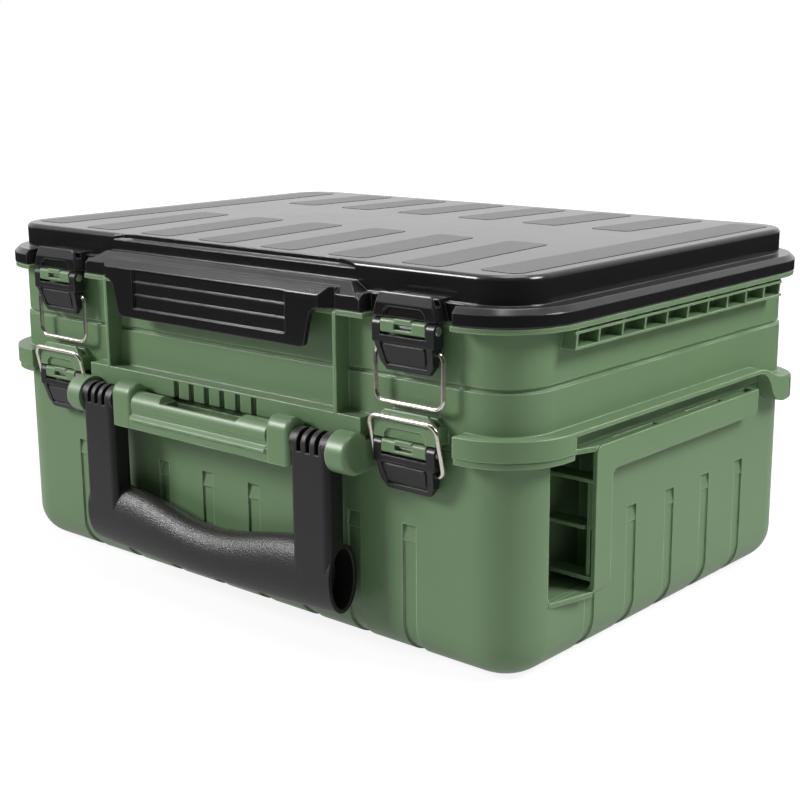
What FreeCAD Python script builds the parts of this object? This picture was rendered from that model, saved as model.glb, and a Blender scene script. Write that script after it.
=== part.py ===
import FreeCAD
import Part

import math
import os

# Two-tier fishing tackle case: a deep base box, a tray box that stands on it, and a lid.
# +X runs right along the front, +Y to the back, +Z up. Millimetres.

V = FreeCAD.Vector

# ---- the stack of shells -------------------------------------------------------------
CASE_WIDTH = 475.0          # over the flanges
CASE_DEPTH = 335.8          # over the flanges
BASE_HEIGHT = 131.5
TRAY_HEIGHT = 72.1
LID_HEIGHT = 26.3
PARTING_GAP = 0.4           # air between two shells that stand on each other
FLANGE_PROUD = 10.7         # every flange beyond the walls
WALL = 3.0                  # moulded wall
WALL_CORNER = 30.0          # plan corner radius of the walls
FLANGE_CORNER = 44.0        # plan corner radius of the flanges between base and tray
LID_CORNER = 49.0           # plan corner radius of the lid flange
BOTTOM_ROUND = 24.0         # round along the bottom edge
RIM_INSET = 1.0             # a rim stands this much inside the flange above it
BLEND = 2.0                 # how deep a joined feature is sunk into what carries it

# ---- base box ------------------------------------------------------------------------
BASE_RIM_THICK = 3.5
REAR_BAND_THICK = 13.5      # deeper rim band along the rear, under the hinges
REAR_BAND_START = 137.0     # where that band starts on the sides
CHANNEL_WIDTH = 10.0        # shallow drain channels that run over the bottom edge
CHANNEL_DEPTH = 1.2
CHANNEL_TOP = 83.0
CHANNEL_MOUTH = 10.0        # height of the ramped head of a channel
MOUTH_DEPTH = 2.3
MOUTH_LIP_DEPTH = 0.3       # depth at the foot of that ramp
CHANNEL_PITCH = 43.0
SIDE_CHANNELS = 5
FRONT_CHANNELS = 8

# ---- side racks: a pocket in the wall and a rail outside it -------------------------------
POCKET_FRONT = -127.5
POCKET_REAR = -60.0
POCKET_FLOOR_Z = 45.0
POCKET_DEEP = 26.3          # from the wall face to the pocket's back
RAIL_PROUD = 9.2
RAIL_THICK = 2.8
RAIL_FRONT = -95.0
RAIL_REAR = 92.0
RAIL_TOP_DROP = 0.6         # shelf top below the base rim
SHELF_THICK = 3.0
RAIL_BAND = 16.3            # height of the top band and width of the upright leg
RAIL_CORNER = 5.0
RAIL_FOOT_CORNER = 8.0
RAIL_FOOT_Z = 41.0
SHELF_FRONT = -118.0        # where the shelf's slanted front edge meets the wall
SLOT_WIDTH = 3.5
SLOT_SPANS = ((-71.0, -27.0), (9.0, 50.0))
HOOK_HOLE = (78.0, 89.0)
RACK_RIB = 2.2
RACK_RIB_HEIGHTS = (51.0, 109.0)
SHORT_RIB_HEIGHT = 81.0
SHORT_RIB_GAP = 5.4         # the middle rib stops this far behind the rail
MOUTH_CORNER = 4.0          # front lower corner of the hole in the wall
FOOT_ROUND = 6.0            # round inside the corner of foot and leg
FOOT_OUT_ROUND = 8.0        # and outside it
LACE_FRONT = -93.0          # thin upright lace behind the leg
LACE_WIDE = 4.6
LACE_NARROW = 2.2

# ---- tray box ------------------------------------------------------------------------
MID_FLANGE_HEIGHT = 11.9
TRAY_FLOOR = 2.6
WALL_STEP = 1.0             # lower tray wall stands this much proud of the upper one
STEP_HEIGHT = 35.6          # height of the proud lower wall
GROOVE_HEIGHT = 2.5
GROOVE_DEPTH = 1.2
TRAY_RIM_THICK = 3.0
TRAY_RIM_INSET = 0.4        # the tray's rim inside the lid flange
TRAY_RIM_REACH = 2.0        # the rim reaches further into the latch break than the flange
SIDE_LEDGE_THICK = 2.5      # all that is left of the flange above the racks
NECK_START = 90.0           # the side flange dips here towards the rear
NECK_END = 135.0
NECK_CAP = 10.0             # length of the level cap at the neck's end
NECK_CAP_RISE = 3.0         # top of the cap above the tray's foot
NECK_ROUND = 2.0
FRONT_RIB_INSET = 53.0       # front rib in from the latch middle
FRONT_RIB_THICK = 2.5
COMB_TEETH = 7
COMB_PITCH = 14.3
COMB_TOOTH = 9.3
COMB_DEPTH = 2.6
LADDER_HALF = 118.0
LADDER_PROUD = 8.6
LADDER_CELLS = 10
LADDER_BAR = 1.5
LADDER_RUNG = 1.4
LADDER_MIDDLE = 8.6         # middle bar above the lowest one
LADDER_LEAN = 1.6           # the foot of a rung ahead of its head
LADDER_DROP = 15.0          # underside of the ladder below the top of the tray

# ---- lid -----------------------------------------------------------------------------
LID_FLANGE_HEIGHT = 10.1
LID_BEVEL = 3.2
CROWN_INSET_X = 13.2        # raised crown inside the flange edge
CROWN_INSET_Y = 13.2
CROWN_CORNER = 28.0
CROWN_ROUND = 3.0
LID_WALL = 2.8
LID_GROOVE_WALL = 2.5
SCOOP_HALF = 118.0          # shallow step in the crown's front edge
SCOOP_DEPTH = 3.4
SCOOP_HEIGHT = 3.3
SCOOP_FALL = 2.0            # the step's front edge rolls down by this much
SCOOP_BLEND = 24.0          # length over which each end of the step runs out
TAB_INSET = 64.1            # top corner of the tab in from the latch middle
TAB_TAPER = 8.9             # how much narrower each side is at the foot
TAB_PROUD = 5.1             # tab face in front of the flange
TAB_THICK = 3.4
TAB_DROP = 24.0             # tab foot below the lid's underside
TAB_FLARE_R = 8.0           # hollow curve from the tab's side out under the shoulder
TAB_END_RUN = 9.0           # length over which the tab's face falls back to the shoulder
TAB_CORNER = 4.0
TAB_FRAME = 23.4            # side border of the tab
TAB_SILL = 6.4              # lower border of the tab
TAB_STEPS = 3
TAB_BEAD = 0.7              # size of the fine lines across the panel
SHOULDER_RISE = 5.2
SHOULDER_RUN = 7.9
PAD_THICK = 1.0
PAD_SINK = 0.8
PAD_FIT = 0.4               # gap between a pad and the lid all round
PAD_WIDTH = 30.0
PAD_COUNT = 6
PAD_PITCH = 57.3
PAD_ROWS = ((-144.0, -28.0, -10.0), (58.0, 144.0, 8.0))   # y from, y to, sideways lean
PAD_ROUND = 5.0
SIDE_PAD_X = 199.5
SIDE_PAD_WIDTH = 27.0
SIDE_PAD_HALF = 140.0

# ---- draw latches -----------------------------------------------------------------------
LATCH_INSET = 69.8          # latch middle in from the side wall
LATCH_GAP = 67.0            # width of the break in the flanges at a latch
PIN_OUT = 8.3               # pin centre in front of the wall
LOWER_PIN_DROP = 0.3        # lower pin below the base's top
UPPER_PIN_DROP = 4.4        # upper pin below the tray's top
PIN_R = 1.6
EAR_R = 4.0
LEVER_HALF = 22.3           # over the ears
LEVER_EAR_DROP = 9.0        # the ears keep their full width this far below the pin
LEVER_SHOULDER_HALF = 20.7
LEVER_TIP_HALF = 19.2
LEVER_FOOT_HALF = 15.4
LEVER_LEAN = 4.5            # the face leans back this much from the ears to the foot
LEVER_LENGTH = 25.5
LEVER_TIP_CHAMFER = 5.0
LEVER_PLATE = 3.0
LEVER_CHEEK = 3.4
LEVER_DEEP = 8.5
DISH_DEPTH = 1.1            # sunk border of the lever's face
DISH_TOP_HALF = 17.3
DISH_FOOT_HALF = 15.2
DISH_HIGH = 8.5             # from the pin down to the dish
DISH_LOW = 22.5
DISH_BORDER = 2.0
BARREL_HALF = 16.0
BARREL_ROUND = 2.0
BARREL_SIDE_GAP = 0.6
BARREL_SLOT_HALF = 6.5      # slot that shows the pin
STOP_HALF = 6.2
RUN_FIT = 0.05              # radial clearance of a pin in a hole that turns on it
KEEPER_HALF = 22.6
KEEPER_HEIGHT = 16.0
LID_KEEPER_HEIGHT = 13.8
KEEPER_ABOVE_PIN = 4.8
KEEPER_PROUD = 11.3
KEEPER_LIP = 3.2
KEEPER_LEAN = 3.8           # each side of the lid's catch leans in by this much
KEEPER_CUT = 7.0            # cut corners of the tray's catch
ARCH_HALF = 15.0
ARCH_HEIGHT = 6.0
ARCH_DEPTH = 1.6
HOOK_WIDTH = 4.0
HOOK_DEEP = 6.0
BAIL_R = 1.4
BAIL_HALF = 24.6
BAIL_LENGTH = 31.0
BAIL_PIVOT_DROP = 13.0      # bail pivot below the lever pin
BAIL_PIVOT_IN = 1.5         # bail pivot behind the lever pin
BAIL_BEND = 6.0
BAIL_EYE_BEND = 4.0
BAIL_LEAN = 12.6            # degrees that a raised bail leans out from its keeper

# ---- carrying handle --------------------------------------------------------------------
HANDLE_PIN_OUT = 19.3       # handle pin in front of the wall
HANDLE_PIN_Z = 126.0
HANDLE_PIN_R = 2.5
ARM_WIDTH = 30.1
ARM_FRONT = 8.4             # arm's front face ahead of the pin
ARM_BACK = 7.0
ARM_ROUND = 4.0
KNUCKLE_R = 8.4
KNUCKLE_SLOTS = 3
KNUCKLE_SLOT = 3.6
GRIP_CENTRE_Z = 42.5
GRIP_HALF_Z = 21.5
GRIP_FRONT_OUT = 28.0       # grip face in front of the wall
GRIP_BACK_OUT = 3.4
GRIP_SAG = 3.5
GRIP_HOLLOW = 9.5           # how far the fingers' side is hollowed in the middle
GRIP_STATIONS = 4           # ovals from the middle to an arm
GRIP_WALL = 2.8
GRIP_END_DEPTH = 16.0
HANDLE_SIDE_GAP = 0.6
BAR_R = 8.0
BAR_FOOT_Z = 110.5
BAR_BAND = 8.5
BAR_SCOOP_INSET = 27.0      # end of the scoop in from the bar's end
BAR_SCOOP_DEPTH = 3.5
BAR_SCOOP_SLOPE = 3.0
BAR_LIP = 1.4               # lip of the lower band in front of the bar
BAR_LIP_RUN = 3.0
DOME_R = 8.2
DOME_WIDTH = 19.9
DOME_ROUND = 3.6
TROUGH_INSET = 12.0         # end of the trough in from the bar's end
TROUGH_WALL = 3.5           # front wall of the trough under the scoop
TROUGH_FLOOR_Z = 116.0
LUG_R = 12.5
LUG_BACK = 2.0              # middle of the lug behind the handle pin
LUG_DROP = 2.0              # and below it
LUG_ROUND = 3.5
LUG_FOOT_Z = 112.5
LUG_WIDTH = 15.3
LUG_LATCH_GAP = 6.2         # from the lug to the lever beside it

# ---- hinges ------------------------------------------------------------------------------
HINGE_OUT = 6.1             # hinge axis behind the flanges
HINGE_R = 5.0
HINGE_PIN_R = 1.75
HINGE_INSET = 106.8         # hinge middle in from the side wall
KNUCKLE_MID = 24.0
KNUCKLE_END = 18.0
KNUCKLE_GAP = 0.3
HINGE_ARM = 4.8

# ---- tray dividers -----------------------------------------------------------------------
DIVIDER = 1.8
DIVIDER_HEIGHT = 52.0
DIVIDER_FIT = 0.3
DIVIDER_PITCH = 110.0
CROSS_DIVIDERS = 3
GUIDE = 2.0

# ---- worked out from the values above --------------------------------------------------------
FLANGE_X, FLANGE_Y = CASE_WIDTH / 2, CASE_DEPTH / 2
WALL_X, WALL_Y = FLANGE_X - FLANGE_PROUD, FLANGE_Y - FLANGE_PROUD
BASE_TOP = BASE_HEIGHT
TRAY_Z = BASE_TOP + PARTING_GAP
TRAY_TOP = TRAY_Z + TRAY_HEIGHT
LID_Z = TRAY_TOP + PARTING_GAP
LID_TOP = LID_Z + LID_HEIGHT
MID_FLANGE_TOP = TRAY_Z + MID_FLANGE_HEIGHT
LID_FLANGE_TOP = LID_Z + LID_FLANGE_HEIGHT
CROWN_X, CROWN_Y = FLANGE_X - CROWN_INSET_X, FLANGE_Y - CROWN_INSET_Y
TRAY_IN_X, TRAY_IN_Y = WALL_X - WALL_STEP - WALL, WALL_Y - WALL_STEP - WALL
LATCH_X, HINGE_X = WALL_X - LATCH_INSET, WALL_X - HINGE_INSET
FRONT_RIB_X = LATCH_X - FRONT_RIB_INSET
TAB_TOP_HALF = LATCH_X - TAB_INSET
TAB_FOOT_HALF = TAB_TOP_HALF - TAB_TAPER
LUG_OUT = LATCH_X - LEVER_HALF - LUG_LATCH_GAP
ARM_OUT = LUG_OUT - LUG_WIDTH - HANDLE_SIDE_GAP
ARM_IN = ARM_OUT - ARM_WIDTH
BAR_HALF = ARM_IN - HANDLE_SIDE_GAP - DOME_WIDTH
BAR_SCOOP_HALF, TROUGH_HALF = BAR_HALF - BAR_SCOOP_INSET, BAR_HALF - TROUGH_INSET
RAIL_X = WALL_X + RAIL_PROUD
RAIL_TOP = BASE_TOP - RAIL_TOP_DROP
SHELF_Z = RAIL_TOP - SHELF_THICK
POCKET_X = WALL_X - POCKET_DEEP
PIN_Y = -WALL_Y - PIN_OUT
LOWER_PIN_Z = BASE_TOP - LOWER_PIN_DROP
UPPER_PIN_Z = TRAY_TOP - UPPER_PIN_DROP
HANDLE_PIN_Y = -WALL_Y - HANDLE_PIN_OUT
HINGE_Y = FLANGE_Y + HINGE_OUT
BASE_HINGE_Z = BASE_TOP + PARTING_GAP / 2
LID_HINGE_Z = TRAY_TOP + PARTING_GAP / 2
FRONT_REACH = WALL_Y + HANDLE_PIN_OUT - LUG_BACK + LUG_R
REAR_REACH = HINGE_Y + HINGE_R
CASE_SHIFT = (FRONT_REACH - REAR_REACH) / 2   # puts the origin under the middle of the box


# ---- small helpers ---------------------------------------------------------------------------
def box(x0, x1, y0, y1, z0, z1):
    return Part.makeBox(x1 - x0, y1 - y0, z1 - z0, V(x0, y0, z0))


def rod(x0, x1, y, z, radius):
    """A round bar along X."""
    return Part.makeCylinder(radius, x1 - x0, V(x0, y, z), V(1, 0, 0))


def prism(points, direction):
    """A closed outline of 3-D points, swept along a direction."""
    outline = Part.makePolygon([V(*p) for p in points] + [V(*points[0])])
    return Part.Face(outline).extrude(V(*direction))


def side_prism(points, x0, x1):
    """An outline in (y, z), swept from x0 to x1."""
    return prism([(x0, y, z) for y, z in points], (x1 - x0, 0, 0))


def front_prism(points, y0, y1):
    """An outline in (x, z), swept from y0 to y1."""
    return prism([(x, y0, z) for x, z in points], (0, y1 - y0, 0))


def plan_prism(points, z0, z1):
    """An outline in (x, y), swept from z0 to z1."""
    return prism([(x, y, z0) for x, y in points], (0, 0, z1 - z0))


def joined(shapes):
    return shapes[0].multiFuse(shapes[1:])


def slab(half_x, half_y, radius, z0, z1):
    """An upright block about the case centre, with rounded corners in plan."""
    block = box(-half_x, half_x, -half_y, half_y, z0, z1)
    return block.makeFillet(radius, upright_edges(block))


def upright_edges(shape):
    return [e for e in shape.Edges if abs(e.tangentAt(e.FirstParameter).z) > 0.99]


def lengthwise_edges(shape):
    """The edges that run along X."""
    return [e for e in shape.Edges if abs(e.tangentAt(e.FirstParameter).x) > 0.99]


def crosswise_edges(shape):
    """The edges that run along Y."""
    return [e for e in shape.Edges if abs(e.tangentAt(e.FirstParameter).y) > 0.99]


def corner_edges(shape, y, z):
    """The edges that run along X through one corner of a side outline."""
    return [e for e in lengthwise_edges(shape)
            if abs(e.BoundBox.Center.y - y) + abs(e.BoundBox.Center.z - z) < 0.01]


def arc(start, middle, end):
    return Part.Arc(start, middle, end).toShape()


def swept_face(edges, length):
    """A closed run of lines and arcs in a plane of constant x, swept along X."""
    return Part.Face(Part.Wire(Part.sortEdges(edges)[0])).extrude(V(length, 0, 0))


def s_curve(x, y0, z0, y1, z1):
    """Two equal arcs that lead level out of one point and level into another."""
    run, fall = y1 - y0, z0 - z1
    radius = (run * run + fall * fall) / (4 * fall)
    middle = V(x, (y0 + y1) / 2, (z0 + z1) / 2)
    half = math.asin(run / 2 / radius) / 2
    dy, dz = radius * math.sin(half), radius * (1 - math.cos(half))
    return [arc(V(x, y0, z0), V(x, y0 + dy, z0 - dz), middle),
            arc(middle, V(x, y1 - dy, z1 + dz), V(x, y1, z1))]


def edges_at_height(shape, z):
    return [e for e in shape.Edges if abs(e.BoundBox.ZMin - z) + abs(e.BoundBox.ZMax - z) < 0.01]


def both_sides(shape):
    """The shape and its mirror image across the middle of the case."""
    return [shape, shape.mirror(V(0, 0, 0), V(1, 0, 0))]


def spread(count, pitch):
    """Places of a centred row."""
    return [(i - (count - 1) / 2) * pitch for i in range(count)]


def latch_gaps(z0, z1, reach=0):
    """Blocks that break a flange in front of the wall, one for each latch, less a reach on each side."""
    half = LATCH_GAP / 2 - reach
    far = FLANGE_Y + TAB_PROUD + BLEND
    return both_sides(box(LATCH_X - half, LATCH_X + half, -far, -WALL_Y, z0, z1))


# ---- base box --------------------------------------------------------------------------------
def base_body(inset):
    """The base's outside, shrunk by an inset on every side but the top."""
    body = slab(WALL_X - inset, WALL_Y - inset, WALL_CORNER - inset, inset, BASE_TOP)
    return body.makeFillet(BOTTOM_ROUND - inset, edges_at_height(body, inset))


def base_channels():
    """Cuts for the drain channels: each has a ramped head, then a shallow run over the bottom edge."""
    half, reach = CHANNEL_WIDTH / 2, BOTTOM_ROUND
    low, high = CHANNEL_TOP - CHANNEL_MOUTH, CHANNEL_TOP
    runs, heads = [], []
    for y in spread(SIDE_CHANNELS, CHANNEL_PITCH):
        runs += both_sides(box(WALL_X - reach, WALL_X + BLEND, y - half, y + half, 0, low))
        head = front_prism([(WALL_X - MOUTH_LIP_DEPTH, low), (WALL_X + BLEND, low), (WALL_X + BLEND, high),
                            (WALL_X - MOUTH_DEPTH, high)], y - half, y + half)
        heads += both_sides(head)
    for x in spread(FRONT_CHANNELS, CHANNEL_PITCH):
        for side in (-1, 1):
            y0, y1 = sorted((side * (WALL_Y - reach), side * (WALL_Y + BLEND)))
            runs.append(box(x - half, x + half, y0, y1, 0, low))
            heads.append(side_prism([(side * (WALL_Y - MOUTH_LIP_DEPTH), low), (side * (WALL_Y + BLEND), low),
                                     (side * (WALL_Y + BLEND), high), (side * (WALL_Y - MOUTH_DEPTH), high)],
                                    x - half, x + half))
    core = base_body(CHANNEL_DEPTH)
    return [run.cut(core) for run in runs] + heads


def base_rim():
    """The thin rim round the base's top, broken at the latches, handle and tray necks."""
    inset = RIM_INSET
    rim = slab(FLANGE_X - inset, FLANGE_Y - inset, FLANGE_CORNER - inset,
               BASE_TOP - BASE_RIM_THICK, BASE_TOP)
    far = FLANGE_X + FLANGE_Y
    bare_front = box(-LATCH_X, LATCH_X, -far, -WALL_Y, 0, LID_TOP)
    bare_side = box(WALL_X, far, RAIL_REAR, REAR_BAND_START, 0, LID_TOP)
    shelf_zone = box(WALL_X, far, SHELF_FRONT, RAIL_REAR, 0, LID_TOP)
    breaks = [bare_front] + both_sides(bare_side) + both_sides(shelf_zone) + latch_gaps(0, LID_TOP)
    rim = rim.cut(breaks)
    band = slab(FLANGE_X, FLANGE_Y, FLANGE_CORNER, BASE_TOP - REAR_BAND_THICK, BASE_TOP)
    return rim, band.common(box(-far, far, REAR_BAND_START, far, 0, BASE_TOP))


def rack_rail():
    """The right rail: an upright leg and a top band in one plate, with its shelf and foot."""
    inner_x, half_in = RAIL_X - RAIL_THICK, RAIL_X - RAIL_THICK / 2
    leg_rear, band_foot = RAIL_FRONT + RAIL_BAND, RAIL_TOP - RAIL_BAND
    plate = side_prism([(RAIL_FRONT, RAIL_FOOT_Z), (leg_rear, RAIL_FOOT_Z), (leg_rear, band_foot),
                        (RAIL_REAR, band_foot), (RAIL_REAR, RAIL_TOP), (RAIL_FRONT, RAIL_TOP)],
                       inner_x, RAIL_X)
    plate = plate.makeFillet(RAIL_FOOT_CORNER, corner_edges(plate, leg_rear, RAIL_FOOT_Z))
    plate = plate.makeFillet(RAIL_CORNER, corner_edges(plate, leg_rear, band_foot)
                             + corner_edges(plate, RAIL_FRONT, RAIL_TOP)
                             + corner_edges(plate, RAIL_REAR, band_foot))
    shelf = plan_prism([(WALL_X, SHELF_FRONT), (half_in, RAIL_FRONT), (half_in, RAIL_REAR),
                        (WALL_X, RAIL_REAR)], SHELF_Z, RAIL_TOP)
    web = box(WALL_X, half_in, leg_rear - WALL, leg_rear - WALL / 3, RAIL_FOOT_Z + RAIL_CORNER,
              SHELF_Z + BLEND)
    foot = plan_prism([(WALL_X, POCKET_FRONT), (half_in, RAIL_FRONT), (half_in, leg_rear - WALL / 3),
                       (WALL_X, leg_rear - WALL / 3)], POCKET_FLOOR_Z - WALL, POCKET_FLOOR_Z)
    gusset = box(inner_x - FOOT_ROUND, half_in, RAIL_FRONT, leg_rear - WALL, POCKET_FLOOR_Z - WALL / 2,
                 POCKET_FLOOR_Z + FOOT_ROUND)
    hub = V(inner_x - FOOT_ROUND, RAIL_FRONT, POCKET_FLOOR_Z + FOOT_ROUND)
    gusset = gusset.cut(Part.makeCylinder(FOOT_ROUND, RAIL_BAND, hub, V(0, 1, 0)))
    slot_out = inner_x
    slots = [box(slot_out - SLOT_WIDTH, slot_out, y0, y1, SHELF_Z, RAIL_TOP) for y0, y1 in SLOT_SPANS]
    hook = box(WALL_X + PARTING_GAP, slot_out, HOOK_HOLE[0], HOOK_HOLE[1], SHELF_Z, RAIL_TOP)
    heel = Part.makeCylinder(FOOT_OUT_ROUND, RAIL_BAND, V(RAIL_X - FOOT_OUT_ROUND, RAIL_FRONT, RAIL_FOOT_Z
                                                          + FOOT_OUT_ROUND), V(0, 1, 0))
    corner = box(RAIL_X - FOOT_OUT_ROUND, RAIL_X, RAIL_FRONT, leg_rear, RAIL_FOOT_Z,
                 RAIL_FOOT_Z + FOOT_OUT_ROUND).cut(heel)
    return joined([plate, shelf, web, foot, gusset]).cut(slots + [hook, corner])


def rack_ribs():
    """Ribs that tie the right rail's leg to the back of the pocket, through the mouth."""
    rear = mouth_rear() - PARTING_GAP
    inner_x = RAIL_X - RAIL_THICK
    half_in = inner_x + RAIL_THICK / 2
    back_x = POCKET_X - WALL / 2
    low, high = RACK_RIB_HEIGHTS
    ribs = [box(back_x, half_in, RAIL_FRONT, rear, z, z + RACK_RIB) for z in RACK_RIB_HEIGHTS]
    ribs.append(box(back_x, inner_x - SHORT_RIB_GAP, RAIL_FRONT, rear, SHORT_RIB_HEIGHT,
                    SHORT_RIB_HEIGHT + RACK_RIB))
    lace_in = inner_x - LACE_WIDE
    ribs.append(box(lace_in, half_in, LACE_FRONT, LACE_FRONT + RACK_RIB, SHORT_RIB_HEIGHT, high + RACK_RIB))
    ribs.append(box(lace_in, lace_in + LACE_NARROW, LACE_FRONT, LACE_FRONT + RACK_RIB, low,
                    SHORT_RIB_HEIGHT + RACK_RIB))
    return ribs


def mouth_rear():
    return RAIL_FRONT + RAIL_BAND - WALL


def rack_mouth():
    """The hole in the tub's right wall that leads into the pocket."""
    hole = box(WALL_X - WALL - BLEND, WALL_X + BLEND, POCKET_FRONT, mouth_rear(), POCKET_FLOOR_Z, SHELF_Z)
    return hole.makeFillet(MOUTH_CORNER, corner_edges(hole, POCKET_FRONT, POCKET_FLOOR_Z))


def side_rack():
    """The right rack: a pocket liner behind the wall, ribs, and the rail outside it."""
    room = base_cavity()
    liner = box(POCKET_X - WALL, WALL_X - WALL, POCKET_FRONT - WALL, POCKET_REAR + WALL,
                POCKET_FLOOR_Z - WALL, SHELF_Z + WALL)
    void = box(POCKET_X, WALL_X, POCKET_FRONT, POCKET_REAR, POCKET_FLOOR_Z, SHELF_Z)
    return joined([liner.cut(void).common(room), rack_rail()] + rack_ribs())


def latch_barrel(pin_z, wall_top):
    """The green block that a lever turns on, with its web to the wall, at the right latch."""
    x0, x1 = LATCH_X - BARREL_HALF, LATCH_X + BARREL_HALF
    web_top = min(pin_z, wall_top)
    block = side_prism([(PIN_Y - EAR_R, pin_z - EAR_R), (PIN_Y + EAR_R, pin_z - EAR_R),
                        (PIN_Y + EAR_R, pin_z + EAR_R), (PIN_Y - EAR_R, pin_z + EAR_R)], x0, x1)
    block = block.makeFillet(BARREL_ROUND, lengthwise_edges(block))
    web = side_prism([(PIN_Y, pin_z - EAR_R), (-WALL_Y + BLEND, pin_z - EAR_R - BLEND),
                      (-WALL_Y + BLEND, web_top), (PIN_Y, web_top)], x0, x1)
    slot = box(LATCH_X - BARREL_SLOT_HALF, LATCH_X + BARREL_SLOT_HALF, PIN_Y - EAR_R, PIN_Y,
               pin_z - PIN_R, pin_z + PIN_R)
    stop = box(LATCH_X - STOP_HALF, LATCH_X + STOP_HALF, PIN_Y - EAR_R, PIN_Y, pin_z + PIN_R,
               pin_z + EAR_R + PARTING_GAP)
    return joined([block, web, stop]).cut([slot, rod(x0, x1, PIN_Y, pin_z, PIN_R)])


def hinge_knuckles(x, z, ends, arm_low, arm_high, arm_from):
    """One leaf of a rear hinge at x: the two end knuckles, or the middle one."""
    mid = KNUCKLE_MID / 2
    if ends:
        spans = [(x - mid - KNUCKLE_GAP - KNUCKLE_END, x - mid - KNUCKLE_GAP),
                 (x + mid + KNUCKLE_GAP, x + mid + KNUCKLE_GAP + KNUCKLE_END)]
    else:
        spans = [(x - mid, x + mid)]
    return [rod(x0, x1, HINGE_Y, z, HINGE_R).fuse(box(x0, x1, arm_from, HINGE_Y, arm_low, arm_high))
            for x0, x1 in spans]


def hinge_bores(z, radius):
    reach = KNUCKLE_MID / 2 + KNUCKLE_GAP + KNUCKLE_END
    return both_sides(rod(HINGE_X - reach, HINGE_X + reach, HINGE_Y, z, radius))


def base_cavity():
    cavity = slab(WALL_X - WALL, WALL_Y - WALL, WALL_CORNER - WALL, WALL, BASE_TOP + BLEND)
    return cavity.makeFillet(BOTTOM_ROUND - WALL, edges_at_height(cavity, WALL))


def base_box():
    rim, rear_band = base_rim()
    shell = joined([base_body(0), rim, rear_band])
    shell = shell.cut([base_cavity()] + base_channels() + both_sides(rack_mouth()))
    barrels = both_sides(latch_barrel(LOWER_PIN_Z, BASE_TOP))
    leaves = []
    for x in (-HINGE_X, HINGE_X):
        leaves += hinge_knuckles(x, BASE_HINGE_Z, True, BASE_TOP - HINGE_ARM, BASE_TOP,
                                 FLANGE_Y - BLEND)
    return joined([shell] + barrels + leaves).cut(hinge_bores(BASE_HINGE_Z, HINGE_PIN_R))


# ---- handle bracket and handle ------------------------------------------------------------------
def bracket_low():
    """Height that the bracket stays under behind the tray flange's front."""
    return BASE_TOP - HANDLE_SIDE_GAP


def rounded_block(outline, x0, x1, ends, radius):
    """An outline of edges at x0, swept to x1, with the rim of each named end face rounded."""
    block = swept_face(outline, x1 - x0)
    rim = [e for x in ends for e in block.Edges
           if abs(e.BoundBox.XMin - x) + abs(e.BoundBox.XMax - x) < 0.01
           and e.BoundBox.Center.y < -FLANGE_Y - HANDLE_SIDE_GAP]
    return block.makeFillet(radius, rim)


def bracket_dome():
    """The right dome, which closes the bar beside the handle's arm."""
    x0, x1 = BAR_HALF, ARM_IN - HANDLE_SIDE_GAP
    low, back = bracket_low(), -FLANGE_Y - HANDLE_SIDE_GAP
    front, wall = back - 2 * DOME_R, -WALL_Y
    foot, shoulder, rear = V(x0, front, BAR_FOOT_Z), V(x0, front, low), V(x0, back, low)
    sides = Part.makePolygon([rear, V(x0, wall, low), V(x0, wall, BAR_FOOT_Z), foot, shoulder]).Edges
    crown = arc(shoulder, V(x0, back - DOME_R, low + DOME_R), rear)
    return rounded_block([crown] + sides, x0, x1, (x0, x1), DOME_ROUND)


def bracket_lug():
    """The right lug, a rounded cheek that holds the outer end of a handle pin."""
    x0 = ARM_OUT + HANDLE_SIDE_GAP
    low, wall = bracket_low(), -WALL_Y
    y, z = HANDLE_PIN_Y + LUG_BACK, HANDLE_PIN_Z - LUG_DROP
    head = V(x0, y + math.sqrt(LUG_R ** 2 - (low - z) ** 2), low)
    foot = V(x0, y, z - LUG_R)
    sides = Part.makePolygon([foot, V(x0, wall, LUG_FOOT_Z), V(x0, wall, low), head]).Edges
    nose = arc(head, V(x0, y - LUG_R, z), foot)
    return rounded_block([nose] + sides, x0, LUG_OUT, (LUG_OUT,), LUG_ROUND)


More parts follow.
